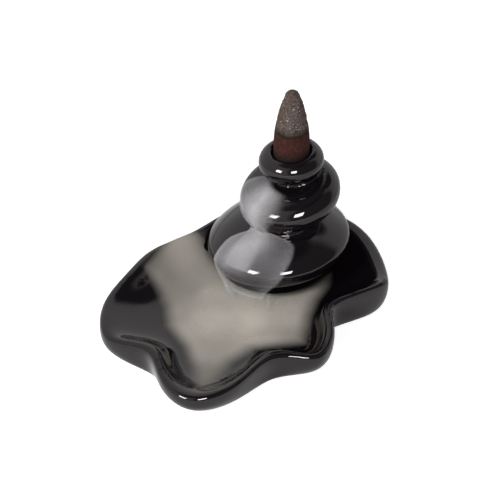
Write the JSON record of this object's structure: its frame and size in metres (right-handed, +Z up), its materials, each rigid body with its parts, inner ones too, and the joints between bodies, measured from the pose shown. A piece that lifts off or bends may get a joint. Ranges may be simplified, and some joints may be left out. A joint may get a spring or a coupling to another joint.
{
  "type": "backflow incense burner",
  "caption": "Gloss-glazed ceramic dish with a ruffled rim and stacked pebbles; smoke from the cone in the top pebble's socket flows down them and pools in the dish.",
  "frame": {"origin": "on the surface that the foot ring stands on, under the middle of the whole outline", "axes": "+Z up, -Y towards the front lobe that the smoke runs to, +X to the right seen from the front"},
  "size_m": [0.1143, 0.1279, 0.0853],
  "materials": {
    "black_glaze": "gloss",
    "incense": "matte"
  },
  "bodies": {
    "root": {"burner_body": "black_glaze", "incense_cone": "incense"}
  },
  "joints": []
}
